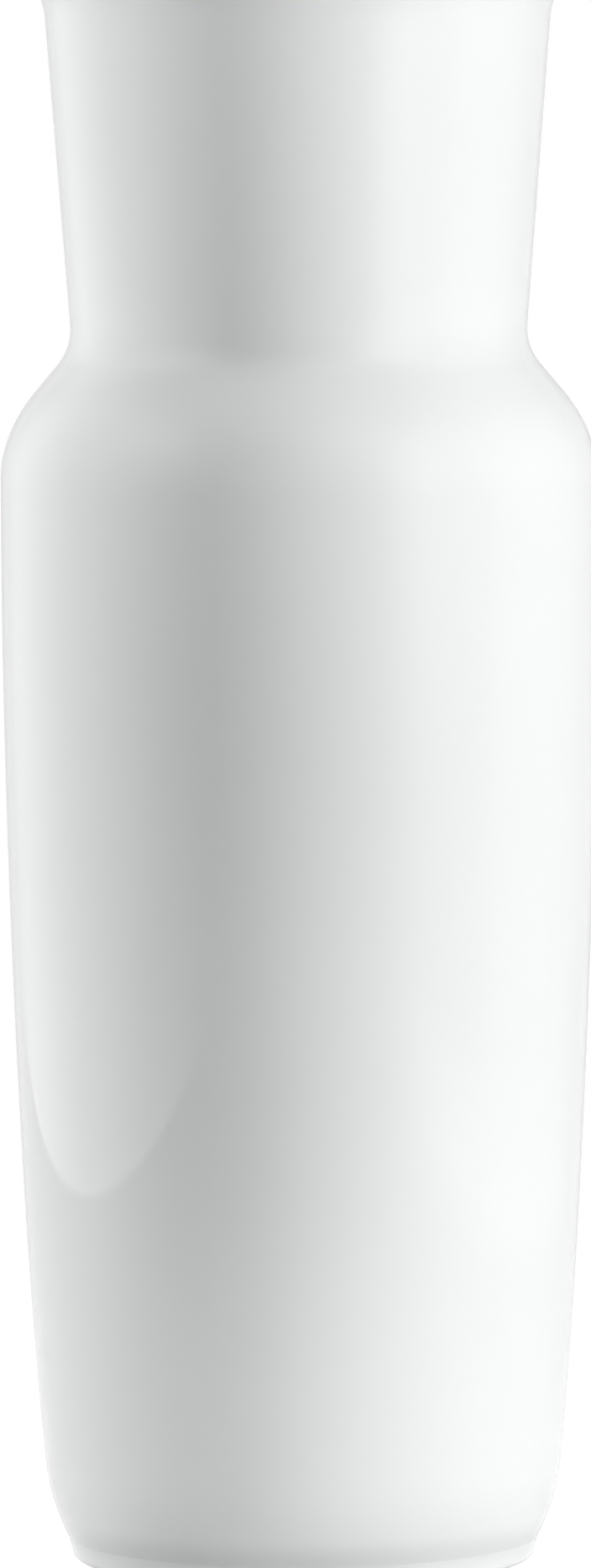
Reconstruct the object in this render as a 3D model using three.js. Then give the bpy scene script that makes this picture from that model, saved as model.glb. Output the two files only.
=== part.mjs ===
// White porcelain vase: a tall body that swells slowly to a rounded shoulder, under a flared collar.
// It is thrown in four sections, which are luted together with clay slip before the glaze goes on:
// foot ring, base, body wall and collar. All of them share one upright axis.
// Millimetres, +Z up. The origin is the centre of the circle on which the vase stands.

import * as THREE from "three";

const { degToRad, lerp } = THREE.MathUtils;

// Overall size
const height = 290;
const bellyDiameter = 110;

// Outer outline, from the foot ring up to the rim. Each stretch has a rise, and ends at a lean,
// which is its angle outward from upright. Between two leans the outline turns as an arc.
const heelStartAngle = degToRad(27.5);
const heelTurnRise = 14;
const heelTurnAngle = degToRad(6);
const heelRise = 16.5;
const heelAngle = degToRad(4);
const shoulderStartRise = 3.5;
const shoulderStartAngle = degToRad(-10);
const shoulderTurnRise = 6;
const shoulderTurnAngle = degToRad(-25);
const shoulderFallRise = 6.5;
const shoulderAngle = degToRad(-40);
const shoulderSlopeRise = 5;
const creaseRise = 6.7;
const collarStartRise = 1.1;
const collarAngle = degToRad(4.4);
const collarRise = 55.8;
const lipRise = 3.7;
const lipAngle = degToRad(20);

// Wall thickness, square to the outline
const heelWall = 4.6;
const bodyWall = 4;
const throatWall = 3.6;
const lipWall = 2.6;

// Foot ring, turned with a slight undercut, and left bare where it stands
const footHeight = 4;
const footWidth = 5;
const footSideAngle = degToRad(15);
const footOuterEdgeRadius = 1.5;
const footInnerEdgeRadius = 0.8;

// Floor of the base, hollowed underneath and rounded into the wall inside
const recessDepth = 2.5;
const floorThickness = 5;
const wellRadius = 14;

// Slip between the sections. At the collar it is a coil of clay that fills the crease.
const slipThickness = 0.4;
const collarCoilHeight = 3;

const segmentsAround = 64;

// Adds an arc to an outline. The lean's sine changes evenly with height along an arc, and a
// chord leans by the mean of the leans at its two ends.
function addArc(outline, rise, endAngle, endWall, steps) {
  const start = outline.at(-1);
  for (let step = 1; step <= steps; step++) {
    const last = outline.at(-1);
    const share = step / steps;
    const angle = Math.asin(lerp(Math.sin(start.angle), Math.sin(endAngle), share));
    const level = start.level + rise * share;
    const chordAngle = (last.angle + angle) / 2;
    const radius = last.radius + (level - last.level) * Math.tan(chordAngle);
    outline.push({ radius, level, angle, wall: lerp(start.wall, endWall, share) });
  }
}

// The outer outline, as points with the lean and the wall thickness there
function makeOuterOutline() {
  const shoulderRise = shoulderStartRise + shoulderTurnRise + shoulderFallRise + shoulderSlopeRise;
  const rimRise = (lipWall / 2) * (1 + Math.sin(lipAngle));
  const upperRise = shoulderRise + creaseRise + collarStartRise + collarRise + lipRise + rimRise;
  const wallRise = height - footHeight - heelTurnRise - heelRise - upperRise;
  const outline = [{ radius: 0, level: footHeight, angle: heelStartAngle, wall: heelWall }];
  addArc(outline, heelTurnRise, heelTurnAngle, heelWall, 4);
  addArc(outline, heelRise, heelAngle, heelWall, 2);
  const heelTop = outline.at(-1);
  addArc(outline, wallRise, 0, bodyWall, 7);
  const belly = outline.at(-1);
  addArc(outline, shoulderStartRise, shoulderStartAngle, bodyWall, 2);
  addArc(outline, shoulderTurnRise, shoulderTurnAngle, bodyWall, 2);
  addArc(outline, shoulderFallRise, shoulderAngle, bodyWall, 3);
  addArc(outline, shoulderSlopeRise, shoulderAngle, bodyWall, 1);
  addArc(outline, creaseRise, 0, throatWall, 4);
  const throat = outline.at(-1);
  addArc(outline, collarStartRise, collarAngle, throatWall, 1);
  addArc(outline, collarRise, collarAngle, lipWall, 2);
  addArc(outline, lipRise, lipAngle, lipWall, 3);
  const outward = bellyDiameter / 2 - belly.radius;
  outline.forEach((point) => (point.radius += outward));
  return { outline, heelTop, throat };
}

// The inner face lies one wall thickness behind the outer one
function offsetInward(outline) {
  return outline.map(({ radius, level, angle, wall }) => ({
    radius: radius - wall * Math.cos(angle),
    level: level + wall * Math.sin(angle),
    angle,
  }));
}

// The point of an outline at a given level
function pointAt(outline, level) {
  const above = Math.max(1, outline.findIndex((point) => point.level >= level));
  const [low, high] = [outline[above - 1], outline[above]];
  const share = (level - low.level) / (high.level - low.level);
  return {
    radius: lerp(low.radius, high.radius, share),
    level,
    angle: lerp(low.angle, high.angle, share),
  };
}

// The part of an outline between two levels, from the lower one up
function stretch(outline, low, high) {
  const between = outline.filter(({ level }) => level > low && level < high);
  return [pointAt(outline, low), ...between, pointAt(outline, high)];
}

// Points of a circular arc in the section, from one angle to another
function arcPoints(centreRadius, centreLevel, arcRadius, startAngle, endAngle, steps) {
  return Array.from({ length: steps + 1 }, (_, step) => {
    const angle = lerp(startAngle, endAngle, step / steps);
    return {
      radius: centreRadius + arcRadius * Math.cos(angle),
      level: centreLevel + arcRadius * Math.sin(angle),
    };
  });
}

// Turns a section about the upright axis. A section runs up its outside and down its inside.
function turned(name, section, material) {
  const points = section.map(({ radius, level }) => new THREE.Vector2(radius, level));
  const geometry = new THREE.LatheGeometry(points, segmentsAround);
  geometry.rotateX(Math.PI / 2);
  const mesh = new THREE.Mesh(geometry, material);
  mesh.name = name;
  return mesh;
}

// A section that closes on itself ends where it starts
function closed(section) {
  return [...section, section[0]];
}

const porcelain = { color: 0xf4f5f5, roughness: 0.08, metalness: 0 };
const glaze = () => new THREE.MeshStandardMaterial(porcelain);
const slip = () => new THREE.MeshStandardMaterial({ ...porcelain, roughness: 0.12 });

const { outline: outer, heelTop, throat } = makeOuterOutline();
const inner = offsetInward(outer);

const footRadius = outer[0].radius;
const footInnerRadius = footRadius - footWidth;
const footRingTop = footHeight - slipThickness;

// Radius of the foot's side, which leans in towards the surface that it stands on
function footSideRadius(level) {
  return footRadius - (footHeight - level) * Math.tan(footSideAngle);
}

function footRing() {
  const edge = footOuterEdgeRadius;
  const edgeTop = edge - edge * Math.sin(footSideAngle);
  const edgeCentre = footSideRadius(edgeTop) - edge * Math.cos(footSideAngle);
  const outerEdge = arcPoints(edgeCentre, edge, edge, -Math.PI / 2, -footSideAngle, 3);
  const innerCentre = footInnerRadius + footInnerEdgeRadius;
  const innerEdge = arcPoints(
    innerCentre, footInnerEdgeRadius, footInnerEdgeRadius, Math.PI, 1.5 * Math.PI, 2
  );
  const top = [
    { radius: footSideRadius(footRingTop), level: footRingTop },
    { radius: footInnerRadius, level: footRingTop },
  ];
  return turned("foot_ring", closed([...outerEdge, ...top, ...innerEdge]), glaze());
}

function footSlip() {
  const section = [
    { radius: footSideRadius(footRingTop), level: footRingTop },
    { radius: footRadius, level: footHeight },
    { radius: footInnerRadius, level: footHeight },
    { radius: footInnerRadius, level: footRingTop },
  ];
  return turned("foot_slip", closed(section), slip());
}

function base() {
  const undersideLevel = footHeight + recessDepth;
  const floorLevel = undersideLevel + floorThickness;
  const coveCentre = footInnerRadius - recessDepth;
  const cove = arcPoints(coveCentre, footHeight, recessDepth, Math.PI / 2, 0, 3);
  const wallInside = pointAt(inner, floorLevel + wellRadius);
  const wellCentre = wallInside.radius - wellRadius / Math.cos(wallInside.angle);
  const well = arcPoints(
    wellCentre, floorLevel + wellRadius, wellRadius, -wallInside.angle, -Math.PI / 2, 6
  );
  const section = [
    { radius: 0, level: undersideLevel },
    ...cove,
    ...stretch(outer, footHeight, heelTop.level),
    pointAt(inner, heelTop.level),
    ...well,
    { radius: 0, level: floorLevel },
  ];
  return turned("base", section, glaze());
}

// A length of the wall between two levels
function wallSection(name, low, high, material) {
  const outside = stretch(outer, low, high);
  const inside = stretch(inner, low, high).reverse();
  return turned(name, closed([...outside, ...inside]), material);
}

function collar() {
  const lip = outer.at(-1);
  const rimRadius = lipWall / 2;
  const rim = arcPoints(
    lip.radius - rimRadius * Math.cos(lip.angle),
    lip.level + rimRadius * Math.sin(lip.angle),
    rimRadius,
    -lip.angle,
    Math.PI - lip.angle,
    5
  );
  const outside = stretch(outer, throat.level, lip.level).slice(0, -1);
  const inside = stretch(inner, throat.level, inner.at(-1).level).slice(0, -1).reverse();
  return turned("collar", closed([...outside, ...rim, ...inside]), glaze());
}

const bodyLow = heelTop.level + slipThickness;
const bodyHigh = throat.level - collarCoilHeight;

const vase = new THREE.Group();
vase.add(
  footRing(),
  footSlip(),
  base(),
  wallSection("base_slip", heelTop.level, bodyLow, slip()),
  wallSection("body", bodyLow, bodyHigh, glaze()),
  wallSection("collar_slip", bodyHigh, throat.level, slip()),
  collar()
);

export default vase;
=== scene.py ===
import math

import bpy
from mathutils import Matrix, Vector, noise


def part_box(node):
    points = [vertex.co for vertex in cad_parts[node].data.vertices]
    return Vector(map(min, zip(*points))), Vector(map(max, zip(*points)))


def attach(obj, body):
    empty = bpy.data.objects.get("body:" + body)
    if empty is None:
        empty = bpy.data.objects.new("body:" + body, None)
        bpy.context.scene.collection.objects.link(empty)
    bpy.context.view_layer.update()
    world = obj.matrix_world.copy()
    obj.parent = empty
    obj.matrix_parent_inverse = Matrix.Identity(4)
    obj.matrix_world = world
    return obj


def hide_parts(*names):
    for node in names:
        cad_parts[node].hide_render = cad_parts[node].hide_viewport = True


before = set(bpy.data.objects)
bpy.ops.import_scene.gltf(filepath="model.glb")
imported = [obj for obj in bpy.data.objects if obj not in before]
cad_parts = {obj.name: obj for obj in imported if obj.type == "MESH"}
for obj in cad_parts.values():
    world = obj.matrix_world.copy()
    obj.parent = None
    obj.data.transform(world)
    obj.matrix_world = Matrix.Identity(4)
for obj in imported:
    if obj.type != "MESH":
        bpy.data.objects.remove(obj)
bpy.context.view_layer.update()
print(f"frame loaded with {len(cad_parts)} nodes")

mm = 0.001  # sizes in the dictionaries are in mm and angles in degrees; Blender works in metres


def lerp(start, end, share):
    return start + (end - start) * share


def boxTop(node):
    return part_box(node)[1].z


def boxRadius(node):
    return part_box(node)[1].x


# Mesh making. A point of a section is (radius, level, facing): facing is the way the surface looks
# there, in radians up from straight outward.

up = 0.5 * math.pi
inward = math.pi
down = -0.5 * math.pi

fineness = {
    "segmentsAround": 256,
    "longestStep": 3,  # along the section
    "shortestStep": 0.01,  # beside a cut through the outline
    "largestTurn": 2.5,  # between two points of a long arc
    "edgeTurn": 7.5,  # between two points of a small rounded edge
    "slopeStep": 0.2,  # to each side, where the slope of a throwing ring is taken
    "decimals": 5,  # of a mm, to which two points count as the same one
}


def roundedRun(centreRadius, centreLevel, size, startAngle, endAngle, hollow=False):
    # a small rounded edge or cove of the section, as a run of points
    turn = abs(endAngle - startAngle)
    steps = math.ceil(turn / math.radians(fineness["edgeTurn"]))
    points = []
    for step in range(steps + 1):
        angle = lerp(startAngle, endAngle, step / steps)
        radius = centreRadius + size * math.cos(angle)
        level = centreLevel + size * math.sin(angle)
        points.append((radius, level, angle + math.pi if hollow else angle))
    return points


def flatRun(startRadius, endRadius, level, facing, rings=1):
    # a level face of the section
    return [(lerp(startRadius, endRadius, ring / rings), level, facing) for ring in range(rings + 1)]


throwing = {
    "pitch": 8.5,
    "depth": 0.07,
    "wander": 40,  # height over which the rings wander up and down
    "wanderShare": 0.25,  # of the pitch
    "from": 16,  # the lowest and the highest level with rings
    "to": 281,
    "fade": 12,  # beside those two levels
}


def throwingRing(level, angle):
    # how far the inside stands in at a point, from the potter's fingers as the clay came up
    wander = noise.noise(Vector((math.cos(angle), math.sin(angle), level / (throwing["wander"] * mm))))
    turns = level / (throwing["pitch"] * mm) + throwing["wanderShare"] * wander
    fade = min(1, max(0, (level - throwing["from"] * mm) / (throwing["fade"] * mm)))
    fade *= min(1, max(0, (throwing["to"] * mm - level) / (throwing["fade"] * mm)))
    return throwing["depth"] * mm * fade * math.sin(2 * math.pi * turns - angle)


def ringed(point, angle):
    # moves an inside point by its throwing ring, and tilts the normal to suit
    radius, level, facing = point
    small = fineness["slopeStep"] * mm
    depth = throwingRing(level, angle)
    rise = (throwingRing(level + small, angle) - throwingRing(level - small, angle)) / (2 * small)
    outward = Vector((math.cos(angle), math.sin(angle), 0))
    normal = outward * math.cos(facing) + Vector((0, 0, math.sin(facing)))
    along = outward * -math.sin(facing) + Vector((0, 0, math.cos(facing)))
    place = outward * radius + Vector((0, 0, level)) + normal * depth
    slope = rise * math.cos(facing)
    return place, (normal - along * slope).normalized()


def plainPoint(point, angle):
    # the place and the normal of a point of the section, turned to an angle
    radius, level, facing = point
    outward = Vector((math.cos(angle), math.sin(angle), 0))
    normal = outward * math.cos(facing) + Vector((0, 0, math.sin(facing)))
    return outward * radius + Vector((0, 0, level)), normal


def turnPiece(name, runs, node, material):
    # turns a closed section about the upright axis. Each run has its points and the function that
    # places them, and two runs meet at a sharp edge. The normals come from the section itself, so a
    # joint between two pieces doesn't show in the gloss.
    around = fineness["segmentsAround"]
    angles = [2 * math.pi * turn / around for turn in range(around)]
    places, faces, normals, rings = [], [], [], {}

    def ringOf(point, bend):
        key = tuple(round(length / mm, fineness["decimals"]) for length in point[:2])
        if key not in rings:
            spots = [bend(point, angle)[0] for angle in (angles if key[0] > 0 else angles[:1])]
            rings[key] = list(range(len(places), len(places) + len(spots)))
            places.extend(spots)
        return rings[key]

    for points, bend in runs:
        facings = [[bend(point, angle)[1] for angle in angles] for point in points]
        for step in range(len(points) - 1):
            low, high = ringOf(points[step], bend), ringOf(points[step + 1], bend)
            for turn in range(around):
                turnNext = (turn + 1) % around
                corners = [(low, step, turn), (low, step, turnNext),
                           (high, step + 1, turnNext), (high, step + 1, turn)]
                if len(low) == 1:
                    corners.pop(1)
                if len(high) == 1:
                    corners.pop(2)
                faces.append([ring[spot % len(ring)] for ring, _, spot in corners])
                normals.extend(facings[row][spot] for _, row, spot in corners)
    mesh = bpy.data.meshes.new(name)
    mesh.from_pydata(places, [], faces)
    mesh.shade_smooth()
    mesh.normals_split_custom_set(normals)
    mesh.materials.append(material)
    piece = bpy.data.objects.new(name, mesh)
    bpy.context.scene.collection.objects.link(piece)
    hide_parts(node)
    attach(piece, "root")
    print(f"{name}: {len(faces)} faces")


# The wall's outline. Each stretch is an arc: its rise, the lean outward from upright at its top,
# and the wall's thickness there. The long wall and the collar have no rise of their own, because
# they take what the frame leaves.

wallShape = {
    "heelLean": 27.5,  # at the foot
    "heelWall": 4.6,
    "heel": [(14, 6, 4.6), (16.5, 4, 4.6)],
    "belly": (0, 4),
    "shoulder": [(3.5, -10, 4), (6, -25, 4), (6.5, -40, 4), (5, -40, 4), (6.7, 0, 3.6)],
    "collarStart": (1.1, 4.4, 3.6),
    "collar": (4.4, 2.6),
    "lip": (3.7, 20, 2.6),
}


def addArc(outline, rise, endLean, endWall):
    # the sine of the lean changes evenly with height along an arc, and a chord leans by the mean
    startRadius, startLevel, startLean, startWall = outline[-1]
    turn = math.degrees(abs(endLean - startLean))
    steps = math.ceil(max(rise / (fineness["longestStep"] * mm), turn / fineness["largestTurn"]))
    for step in range(1, steps + 1):
        share = step / steps
        radius, level, lean, _ = outline[-1]
        nextLean = math.asin(lerp(math.sin(startLean), math.sin(endLean), share))
        nextLevel = startLevel + rise * share
        radius += (nextLevel - level) * math.tan((lean + nextLean) / 2)
        outline.append((radius, nextLevel, nextLean, lerp(startWall, endWall, share)))


def makeOutline():
    shape = wallShape
    footTop, throat, rimTop = boxTop("foot_slip"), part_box("collar")[0].z, boxTop("collar")
    outline = [(0, footTop, math.radians(shape["heelLean"]), shape["heelWall"] * mm)]

    def add(rise, lean, wall):
        addArc(outline, rise, math.radians(lean), wall * mm)

    for rise, lean, wall in shape["heel"]:
        add(rise * mm, lean, wall)
    shoulderRise = sum(rise for rise, _, _ in shape["shoulder"]) * mm
    add(throat - shoulderRise - outline[-1][1], *shape["belly"])
    bellyRadius = outline[-1][0]
    for rise, lean, wall in shape["shoulder"]:
        add(rise * mm, lean, wall)
    startRise, startLean, startWall = shape["collarStart"]
    add(startRise * mm, startLean, startWall)
    lipRise, lipLean, lipWall = shape["lip"]
    rimRise = lipWall / 2 * mm * (1 + math.sin(math.radians(lipLean)))
    add(rimTop - rimRise - lipRise * mm - outline[-1][1], *shape["collar"])
    add(lipRise * mm, lipLean, lipWall)
    outward = boxRadius("body") - bellyRadius
    return [(radius + outward, level, lean, wall) for radius, level, lean, wall in outline]


outline = makeOutline()
outside = [(radius, level, -lean) for radius, level, lean, _ in outline]
inside = [(radius - wall * math.cos(lean), level + wall * math.sin(lean), math.pi - lean)
          for radius, level, lean, wall in outline]


def pointAt(curve, level):
    # the point of a rising curve at a given level
    for low, high in zip(curve, curve[1:]):
        if high[1] >= level:
            break
    share = (level - low[1]) / (high[1] - low[1])
    return lerp(low[0], high[0], share), level, lerp(low[2], high[2], share)


def stretch(curve, low, high):
    # the part of a curve between two levels, from the lower one up
    margin = fineness["shortestStep"] * mm
    between = [point for point in curve if low + margin < point[1] < high - margin]
    return [pointAt(curve, low), *between, pointAt(curve, high)]


# Materials

def linear(hexColour):
    # sRGB hex to the linear colour that the shader takes
    channels = [int(hexColour[place:place + 2], 16) / 255 for place in (1, 3, 5)]
    return tuple(c / 12.92 if c <= 0.04045 else ((c + 0.055) / 1.055) ** 2.4 for c in channels) + (1,)


def addNode(tree, kind, inputs=None, **settings):
    # adds a node; an input is a value or the socket that feeds it
    node = tree.nodes.new("ShaderNode" + kind)
    for name, value in settings.items():
        setattr(node, name, value)
    for name, value in (inputs or {}).items():
        if isinstance(value, bpy.types.NodeSocket):
            tree.links.new(value, node.inputs[name])
        else:
            node.inputs[name].default_value = value
    return node


# Porcelain under a clear feldspar glaze, dipped and fired glassy: a neutral white with a trace of
# cool grey where the glaze lies thick, and a hard mirror-like shine with very soft waves in it. In
# the groove over the foot the colour is darker still, as painted shade.
glazeLook = {
    "thin": "#F1F1EF",  # on the rim, where the glaze runs off
    "body": "#F0F1F1",
    "thick": "#ECEEEE",  # in the crease under the collar, where the glaze gathers
    "notchPoolAndShade": "#E4E6E6",  # in the groove over the foot: glaze gathers most there, and the colour is darker still as painted shade of the groove
    "roughness": 0.02,
    "roughnessSpread": 0.006,
    "indexOfRefraction": 1.5,
    "clouds": {"width": 45, "detail": 2},  # faint ones, in the glaze's thickness
    "cloudRange": (0.3, 0.75),  # of that noise, from the thinnest to the thickest glaze
    "cloudShare": 0.5,  # how far the clouds go from the body's colour to the thick one
    "patches": {"width": 28, "detail": 2},  # of a little more or less shine
    "waves": {"width": 28, "detail": 1, "depth": 0.004},  # the glaze's slow waves
    # a real glaze's dimples are about 1 mm wide, too fine to show, so these are drawn coarser
    "dimples": {"width": 2.5, "detail": 0, "depth": 0.0001},
}
# Bare biscuit porcelain, wiped clean of glaze and sanded so that the foot can stand in the kiln:
# a dry, slightly warm white without shine, with a fine grain.
bareLook = {
    "colour": "#E9E7E3",
    "roughness": 0.62,
    "height": 0.4,  # the glaze line's height above the surface that the vase stands on
    "lineWidth": 0.12,
    "lineReach": 0.1,  # how far the line wanders up and down
    "wander": {"width": 8, "detail": 2},
    # the real grain is under 0.1 mm, too fine to show, so this one is drawn coarser
    "grain": {"width": 0.5, "detail": 3, "depth": 0.01},
}
# where the glaze gathers, and where it runs thin; over the foot the darker colour is also painted shade
glazePoolAndShade = {
    "creaseOffset": -3,  # from the collar's lower end
    "creaseReach": 7,
    "notchOffset": 1,  # from the top of the slip over the foot
    "notchReach": 4.5,
    "rimReach": 2.2,  # from the top of the rim
}


def heightMask(tree, height, level, reach):
    # 1 at a level, fading to 0 at a distance of reach above and below it
    off = addNode(tree, "Math", {0: height, 1: level}, operation="SUBTRACT").outputs[0]
    away = addNode(tree, "Math", {0: off}, operation="ABSOLUTE").outputs[0]
    fade = {"Value": away, "From Max": reach * mm, "To Min": 1, "To Max": 0}
    return addNode(tree, "MapRange", fade, interpolation_type="SMOOTHSTEP").outputs[0]


def addPatterns(tree, place, look, names):
    # the noises of a finish, each with blobs of its width in mm and with its steps of finer detail
    patterns = {}
    for name in names:
        blobs = {"Vector": place, "Scale": 1 / (look[name]["width"] * mm), "Detail": look[name]["detail"]}
        patterns[name] = addNode(tree, "TexNoise", blobs).outputs[0]
    return patterns


def makeGlaze(name, bareFoot=False):
    look = glazeLook
    material = bpy.data.materials.new(name)
    material.use_nodes = True
    tree = material.node_tree
    shader = tree.nodes["Principled BSDF"]
    place = addNode(tree, "TexCoord").outputs["Object"]
    height = addNode(tree, "SeparateXYZ", {0: place}).outputs["Z"]
    patterns = addPatterns(tree, place, look, ["clouds", "patches", "waves", "dimples"])

    clouds = addNode(tree, "MapRange", {
        "Value": patterns["clouds"],
        "From Min": look["cloudRange"][0],
        "From Max": look["cloudRange"][1],
        "To Max": look["cloudShare"],
    }).outputs[0]
    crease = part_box("collar")[0].z + glazePoolAndShade["creaseOffset"] * mm
    notchPoolAndShade = boxTop("foot_slip") + glazePoolAndShade["notchOffset"] * mm
    gathered = heightMask(tree, height, crease, glazePoolAndShade["creaseReach"])
    thickness = addNode(tree, "Math", {0: clouds, 1: gathered}, operation="MAXIMUM").outputs[0]
    colour = linear(look["body"])
    # the layer over the foot paints the groove's shade into the colour, on top of the gathered glaze
    layers = {
        "thick": thickness,
        "notchPoolAndShade": heightMask(tree, height, notchPoolAndShade, glazePoolAndShade["notchReach"]),
        "thin": heightMask(tree, height, boxTop("collar"), glazePoolAndShade["rimReach"]),
    }
    for layer, mask in layers.items():
        colours = {"Factor": mask, "A": colour, "B": linear(look[layer])}
        colour = addNode(tree, "Mix", colours, data_type="RGBA").outputs["Result"]

    roughness = addNode(tree, "MapRange", {
        "Value": patterns["patches"],
        "To Min": look["roughness"] - look["roughnessSpread"],
        "To Max": look["roughness"] + look["roughnessSpread"],
    }).outputs[0]
    normal = None
    for relief in ("waves", "dimples"):
        under = {"Normal": normal} if normal else {}
        heights = {"Height": patterns[relief], "Strength": 1, "Distance": look[relief]["depth"] * mm}
        normal = addNode(tree, "Bump", {**heights, **under}).outputs[0]
    if bareFoot:
        colour, roughness, normal = bareBelow(tree, place, height, (colour, roughness, normal))

    shader.inputs["IOR"].default_value = look["indexOfRefraction"]
    tree.links.new(colour, shader.inputs["Base Color"])
    tree.links.new(roughness, shader.inputs["Roughness"])
    tree.links.new(normal, shader.inputs["Normal"])
    return material


def bareBelow(tree, place, height, glazed):
    # the bare land up to the glaze line, and over it the glazed colour, roughness and normal
    bare = bareLook
    patterns = addPatterns(tree, place, bare, ["wander", "grain"])
    wander = addNode(tree, "MapRange", {
        "Value": patterns["wander"],
        "To Min": -bare["lineReach"] * mm,
        "To Max": bare["lineReach"] * mm,
    }).outputs[0]
    mask = addNode(tree, "MapRange", {
        "Value": addNode(tree, "Math", {0: height, 1: wander}, operation="SUBTRACT").outputs[0],
        "From Min": (bare["height"] - bare["lineWidth"]) * mm,
        "From Max": bare["height"] * mm,
    }, interpolation_type="SMOOTHSTEP").outputs[0]
    grain = {"Height": patterns["grain"], "Strength": 1, "Distance": bare["grain"]["depth"] * mm}
    dry = (linear(bare["colour"]), bare["roughness"], addNode(tree, "Bump", grain).outputs[0])
    mixed = []
    for kind, low, high in zip(("RGBA", "FLOAT", "VECTOR"), dry, glazed):
        mix = addNode(tree, "Mix", {"Factor": mask, "A": low, "B": high}, data_type=kind)
        mixed.append(mix.outputs["Result"])
    return mixed


glazedPorcelain = makeGlaze("porcelainClearGlaze")
glazedSlip = makeGlaze("slipClearGlaze")
glazedFoot = makeGlaze("porcelainClearGlazeBareLand", bareFoot=True)
print("materials made")


# Foot ring: turned with a slight undercut, rounded at both edges of the land that it stands on

foot = {
    "width": 5,
    "sideLean": 15,
    "outerEdge": 1.5,
    "innerEdge": 0.8,
}
footTop = boxTop("foot_slip")
ringTop = boxTop("foot_ring")
footRadius = outside[0][0]
footInner = footRadius - foot["width"] * mm


def footSide(level):
    return footRadius - (footTop - level) * math.tan(math.radians(foot["sideLean"]))


def makeFootRing():
    lean = math.radians(foot["sideLean"])
    outer, inner = foot["outerEdge"] * mm, foot["innerEdge"] * mm
    outerCentre = footSide(outer * (1 - math.sin(lean))) - outer * math.cos(lean)
    skin = [(footInner, ringTop, inward)]
    skin += roundedRun(footInner + inner, inner, inner, inward, 1.5 * math.pi)
    skin += roundedRun(outerCentre, outer, outer, down, -lean)
    skin.append((footSide(ringTop), ringTop, -lean))
    top = flatRun(footSide(ringTop), footInner, ringTop, up)
    runs = [(skin, plainPoint), (top, plainPoint)]
    turnPiece("footRing", runs, "foot_ring", glazedFoot)


def makeFootSlip():
    lean = math.radians(foot["sideLean"])
    runs = [
        [(footSide(ringTop), ringTop, -lean), (footRadius, footTop, -lean)],
        flatRun(footRadius, footInner, footTop, up),
        [(footInner, footTop, inward), (footInner, ringTop, inward)],
        flatRun(footInner, footSide(ringTop), ringTop, down),
    ]
    turnPiece("footSlip", [(run, plainPoint) for run in runs], "foot_slip", glazedSlip)


# Base: hollowed underneath, with a floor that rounds up into the wall inside

floorShape = {
    "recess": 2.5,
    "thickness": 5,
    "wellRadius": 14,
    "rings": 8,  # rings of faces across the flat floor
}


def makeBase():
    shape = floorShape
    recess, well = shape["recess"] * mm, shape["wellRadius"] * mm
    underside = footTop + recess
    floorLevel = underside + shape["thickness"] * mm
    heelTop = boxTop("base")
    wallRadius, wellLevel, wallFacing = pointAt(inside, floorLevel + well)
    lean = math.pi - wallFacing
    wellCentre = wallRadius - well / math.cos(lean)
    wellTop = wellLevel - well * math.sin(lean)
    under = flatRun(0, footInner - recess, underside, down, shape["rings"])
    under += roundedRun(footInner - recess, footTop, recess, up, 0, hollow=True)[1:]
    # down the inside of the wall, round the well and in across the floor
    wall = stretch(inside, wellTop, heelTop)[:0:-1]
    wall += roundedRun(wellCentre, wellLevel, well, -lean, down, hollow=True)
    wall += flatRun(wellCentre, 0, floorLevel, up, shape["rings"])[1:]
    top = flatRun(pointAt(outside, heelTop)[0], pointAt(inside, heelTop)[0], heelTop, up)
    runs = [
        (under, plainPoint),
        (flatRun(footInner, footRadius, footTop, down), plainPoint),
        (stretch(outside, footTop, heelTop), plainPoint),
        (top, plainPoint),
        (wall, ringed),
    ]
    turnPiece("vaseBase", runs, "base", glazedPorcelain)


# Wall pieces between two levels of the frame: the slip rings and the body

def makeWallPiece(name, node, material):
    low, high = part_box(node)[0].z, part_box(node)[1].z
    outerLow, outerHigh = pointAt(outside, low)[0], pointAt(outside, high)[0]
    innerLow, innerHigh = pointAt(inside, low)[0], pointAt(inside, high)[0]
    runs = [
        (stretch(outside, low, high), plainPoint),
        (flatRun(outerHigh, innerHigh, high, up), plainPoint),
        (stretch(inside, low, high)[::-1], ringed),
        (flatRun(innerLow, outerLow, low, down), plainPoint),
    ]
    turnPiece(name, runs, node, material)


# Collar: the flared neck with its turned-out lip and half-round rim

def makeCollar():
    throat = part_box("collar")[0].z
    lipRadius, lipLevel, lipLean, lipWall = outline[-1]
    rimRadius = lipWall / 2
    rimCentre = lipRadius - rimRadius * math.cos(lipLean)
    rimLevel = lipLevel + rimRadius * math.sin(lipLean)
    rim = roundedRun(rimCentre, rimLevel, rimRadius, -lipLean, math.pi - lipLean)
    skin = stretch(outside, throat, lipLevel)[:-1] + rim
    lining = stretch(inside, throat, inside[-1][1])[::-1]
    bottom = flatRun(pointAt(inside, throat)[0], pointAt(outside, throat)[0], throat, down)
    runs = [(skin, plainPoint), (lining, ringed), (bottom, plainPoint)]
    turnPiece("vaseCollar", runs, "collar", glazedPorcelain)


makeFootRing()
makeFootSlip()
makeBase()
makeWallPiece("baseSlip", "base_slip", glazedSlip)
makeWallPiece("vaseBody", "body", glazedPorcelain)
makeWallPiece("collarSlip", "collar_slip", glazedSlip)
makeCollar()


# Table and surroundings: plain white, with the vase's own soft shadow

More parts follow.
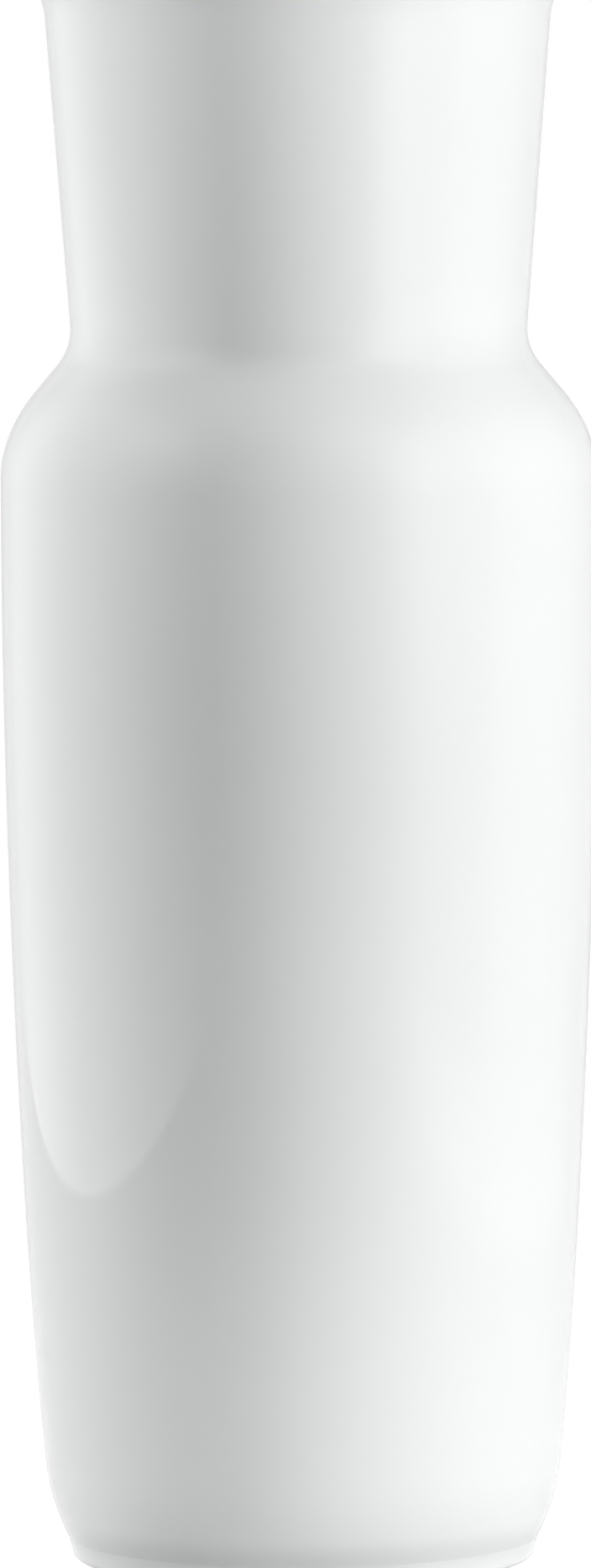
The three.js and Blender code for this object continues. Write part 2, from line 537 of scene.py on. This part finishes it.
studio = {
    "tableRadius": 2500,  # from the vase to each side
    "tableGap": 0.05,  # under the foot, so that the two faces don't fall together
    "tableColour": "#C4C4C4",
    "nearGlow": 0.8,  # the table's own glow by the vase, as the camera sees it, where 1 is white
    "nearShadedShine": 0.62,  # and as the gloss shows it: lower, as painted shade of the vase's contact shadow on the table in its reflections
    "whiteReach": (120, 500),  # between these distances the table turns to an even white
    "shadeReach": (100, 400),  # and between these it takes on the room's shades in the gloss
    "fill": 0.02,  # the room's light on the object, where 1 is white
}
# the room is less bright behind the camera, and the gloss shows that as a soft dark streak; it is a
# little less bright straight behind the vase too, which draws its outline
roomShades = {
    "front": {"azimuth": -15, "darkness": 1, "innerAngle": 20, "outerAngle": 70},
    "back": {"azimuth": 180, "darkness": 0.2, "innerAngle": 12, "outerAngle": 25},
}


def outwardAt(azimuth):
    # the level direction from the vase at an azimuth, which is 0 towards the camera and grows to
    # the right
    angle = math.radians(azimuth)
    return Vector((math.sin(angle), -math.cos(angle), 0))


def shineWhite(tree, way):
    # how much of the white the gloss sees in a direction from the vase
    unit = addNode(tree, "VectorMath", {0: way}, operation="NORMALIZE").outputs["Vector"]
    bright = None
    for shade in roomShades.values():
        ways = {0: unit, 1: outwardAt(shade["azimuth"])}
        toward = addNode(tree, "VectorMath", ways, operation="DOT_PRODUCT").outputs["Value"]
        part = addNode(tree, "MapRange", {
            "Value": toward,
            "From Min": math.cos(math.radians(shade["outerAngle"])),
            "From Max": math.cos(math.radians(shade["innerAngle"])),
            "To Min": 1,
            "To Max": 1 - shade["darkness"],
        }, interpolation_type="SMOOTHSTEP").outputs[0]
        if bright:
            part = addNode(tree, "Math", {0: bright, 1: part}, operation="MINIMUM").outputs[0]
        bright = part
    return bright


def whiteSeen(tree, straightLevel, shineLevel):
    # the white that the camera sees, straight or through glass, and the white that the gloss shows
    path = addNode(tree, "LightPath").outputs
    rays = {0: path["Is Camera Ray"], 1: path["Is Transmission Ray"]}
    straight = addNode(tree, "Math", rays, operation="MAXIMUM").outputs[0]
    straight = addNode(tree, "Math", {0: straight, 1: straightLevel}, operation="MULTIPLY").outputs[0]
    glossy = {0: path["Is Glossy Ray"], 1: shineLevel}
    shine = addNode(tree, "Math", glossy, operation="MULTIPLY").outputs[0]
    return addNode(tree, "Math", {0: straight, 1: shine}, operation="MAXIMUM").outputs[0]


def makeTable():
    radius = studio["tableRadius"] * mm
    level = -studio["tableGap"] * mm
    corners = ((-1, -1), (1, -1), (1, 1), (-1, 1))
    mesh = bpy.data.meshes.new("table")
    mesh.from_pydata([(x * radius, y * radius, level) for x, y in corners], [], [(0, 1, 2, 3)])
    material = bpy.data.materials.new("whiteTable")
    material.use_nodes = True
    tree = material.node_tree
    tree.nodes.remove(tree.nodes["Principled BSDF"])
    place = addNode(tree, "TexCoord").outputs["Object"]
    away = addNode(tree, "VectorMath", {0: place}, operation="LENGTH").outputs["Value"]
    shares = []
    for near, far in (studio["whiteReach"], studio["shadeReach"]):
        reach = {"Value": away, "From Min": near * mm, "From Max": far * mm}
        shares.append(addNode(tree, "MapRange", reach, interpolation_type="SMOOTHSTEP").outputs[0])
    white, shaded = shares
    shades = {"Factor": shaded, "A": 1.0, "B": shineWhite(tree, place)}
    bright = addNode(tree, "Mix", shades).outputs["Result"]
    glow = addNode(tree, "MapRange", {"Value": white, "To Min": studio["nearGlow"]}).outputs[0]
    # the table's glow in the gloss is dimmer by the vase: painted shade of the contact shadow that the
    # glaze reflects
    shine = addNode(tree, "MapRange", {"Value": white, "To Min": studio["nearShadedShine"]}).outputs[0]
    shine = addNode(tree, "Math", {0: shine, 1: bright}, operation="MULTIPLY").outputs[0]
    colours = {"Factor": white, "A": linear(studio["tableColour"]), "B": linear("#000000")}
    colour = addNode(tree, "Mix", colours, data_type="RGBA").outputs["Result"]
    paint = addNode(tree, "BsdfDiffuse", {"Color": colour}).outputs[0]
    light = addNode(tree, "Emission", {"Strength": whiteSeen(tree, glow, shine)}).outputs[0]
    both = addNode(tree, "AddShader", {0: paint, 1: light}).outputs[0]
    tree.links.new(both, tree.nodes["Material Output"].inputs["Surface"])
    mesh.materials.append(material)
    table = bpy.data.objects.new("table", mesh)
    bpy.context.scene.collection.objects.link(table)


def makeWorld():
    world = bpy.data.worlds.new("whiteRoom")
    bpy.context.scene.world = world
    world.use_nodes = True
    tree = world.node_tree
    way = addNode(tree, "TexCoord").outputs["Generated"]
    seen = whiteSeen(tree, 1, shineWhite(tree, way))
    level = addNode(tree, "Math", {0: seen, 1: studio["fill"]}, operation="MAXIMUM").outputs[0]
    tree.nodes["Background"].inputs["Color"].default_value = linear("#FFFFFF")
    tree.links.new(level, tree.nodes["Background"].inputs["Strength"])


makeTable()
makeWorld()
print("table and room made")

# Lamps round the vase, each a soft box. From and to run along the box's face, the way that the
# azimuth grows; aim is the level that the box faces; soft is the width of its fading edge at from,
# to, bottom and top. A shading box lights the vase and doesn't show in its gloss, and a shine box
# shows in the gloss and lights nothing.

keyBox = {"use": "shading", "distance": 978, "from": -200, "to": 200, "bottom": 158, "top": 558,
          "aim": 150, "soft": (20, 20, 20, 20)}
cloth = {"use": "shine", "bottom": 2, "top": 800, "aim": 401}

lamps = {
    "leftKey": {**keyBox, "azimuth": -105, "light": 17.4},
    "rightKey": {**keyBox, "azimuth": 75, "light": 11.3},
    "rightFrontKey": {**keyBox, "azimuth": 50, "light": 7.8},
    "frontKey": {**keyBox, "azimuth": 10, "light": 1.9},
    "backKey": {**keyBox, "azimuth": 180, "bottom": 20, "top": 420, "light": 10},
    # straight over the vase, facing down: bottom and top are the two ends of its depth there, and
    # it hangs at the level halfway between them
    "topKey": {"use": "shading", "azimuth": 0, "distance": 0, "from": -350, "to": 350,
               "bottom": 1650, "top": 2350, "aim": 150, "soft": (100, 100, 100, 100), "light": 2},
    "frontHigh": {"use": "shading", "azimuth": -12, "distance": 250, "from": -60, "to": 60,
                  "bottom": 260, "top": 380, "aim": 280, "soft": (30, 30, 30, 30), "light": 5.05},
    "frontLow": {"use": "shading", "azimuth": -10, "distance": 200, "from": -60, "to": 60,
                 "bottom": 30, "top": 80, "aim": 40, "soft": (30, 30, 10, 20), "light": 3.4},
    "rightLow": {"use": "shading", "azimuth": 60, "distance": 115, "from": -70, "to": 70,
                 "bottom": 2, "top": 22, "aim": 8, "soft": (30, 30, 3, 8), "light": 0.95},
    "leftCloth": {**cloth, "azimuth": -86, "distance": 390, "from": -850, "to": 550,
                  "soft": (750, 350, 3, 300), "light": 1.05},
    "rightCloth": {**cloth, "azimuth": 91, "distance": 320, "from": -500, "to": 400,
                   "soft": (250, 600, 3, 300), "light": 0.65},
    "rightGlow": {"use": "shine", "azimuth": 91, "distance": 320, "from": -600, "to": -100,
                  "bottom": 40, "top": 700, "aim": 370, "soft": (200, 250, 200, 300), "light": 0.85},
}


def edgeFade(tree, along, size, softStart, softEnd):
    # 1 inside a lamp's face and 0 at its two ends
    back = addNode(tree, "Math", {0: 1, 1: along}, operation="SUBTRACT").outputs[0]
    edges = []
    for value, soft in ((along, softStart), (back, softEnd)):
        fade = {"Value": value, "From Max": soft / size}
        edges.append(addNode(tree, "MapRange", fade, interpolation_type="SMOOTHSTEP").outputs[0])
    return addNode(tree, "Math", {0: edges[0], 1: edges[1]}, operation="MULTIPLY").outputs[0]


def makeLamp(name, look):
    outward = outwardAt(look["azimuth"])
    along = outwardAt(look["azimuth"] + 90)
    width, height = look["to"] - look["from"], look["top"] - look["bottom"]
    middle = (look["bottom"] + look["top"]) / 2
    light = bpy.data.lights.new(name, "AREA")
    light.shape = "RECTANGLE"
    light.size, light.size_y = width * mm, height * mm
    # a cloth of brightness 1 gives pi watts a square metre
    light.energy = math.pi * look["light"] * light.size * light.size_y
    light.use_nodes = True
    tree = light.node_tree
    across = addNode(tree, "SeparateXYZ", {0: addNode(tree, "NewGeometry").outputs["Parametric"]})
    start, end, low, high = look["soft"]
    sides = edgeFade(tree, across.outputs["X"], width, start, end)
    levels = edgeFade(tree, across.outputs["Y"], height, low, high)
    strength = addNode(tree, "Math", {0: sides, 1: levels}, operation="MULTIPLY").outputs[0]
    tree.links.new(strength, tree.nodes["Emission"].inputs["Strength"])
    lamp = bpy.data.objects.new(name, light)
    bpy.context.scene.collection.objects.link(lamp)
    lamp.location = (outward * look["distance"] + along * (look["from"] + look["to"]) / 2) * mm
    lamp.location.z = middle * mm
    facing = Vector((0, 0, look["aim"] - middle)) - outward * look["distance"]
    lamp.rotation_euler = facing.to_track_quat("-Z", "Y").to_euler()
    lamp.visible_glossy = look["use"] == "shine"
    lamp.visible_diffuse = look["use"] == "shading"


for lampName, lampLook in lamps.items():
    makeLamp(lampName, lampLook)
print(f"{len(lamps)} lamps made")


# Camera: a long lens at the photograph's distance, a little above the vase's rim and tilted down

photo = {
    "height": 1869,  # pixels
    "focal": 13802,  # pixels
    "distance": 2130,
    "eyeLevel": 318,
    "tilt": 4.684,
    "pan": 0.0251,
    "roll": -0.2194,
    "film": 36,
    "nearest": 100,  # what is nearer or farther than these two isn't seen
    "farthest": 100000,
}


def makeCamera():
    camera = bpy.data.cameras.new("camera")
    camera.sensor_width = photo["film"]
    camera.lens = photo["focal"] / photo["height"] * photo["film"]
    camera.clip_start = photo["nearest"] * mm
    camera.clip_end = photo["farthest"] * mm
    holder = bpy.data.objects.new("camera", camera)
    bpy.context.scene.collection.objects.link(holder)
    turn = Matrix.Rotation(math.radians(photo["pan"]), 4, "Z")
    turn = turn @ Matrix.Rotation(math.radians(90 - photo["tilt"]), 4, "X")
    turn = turn @ Matrix.Rotation(math.radians(photo["roll"]), 4, "Z")
    place = Matrix.Translation((0, -photo["distance"] * mm, photo["eyeLevel"] * mm))
    holder.matrix_world = place @ turn
    bpy.context.scene.camera = holder


makeCamera()
bpy.context.scene.view_settings.view_transform = "Standard"

print("vase ready")
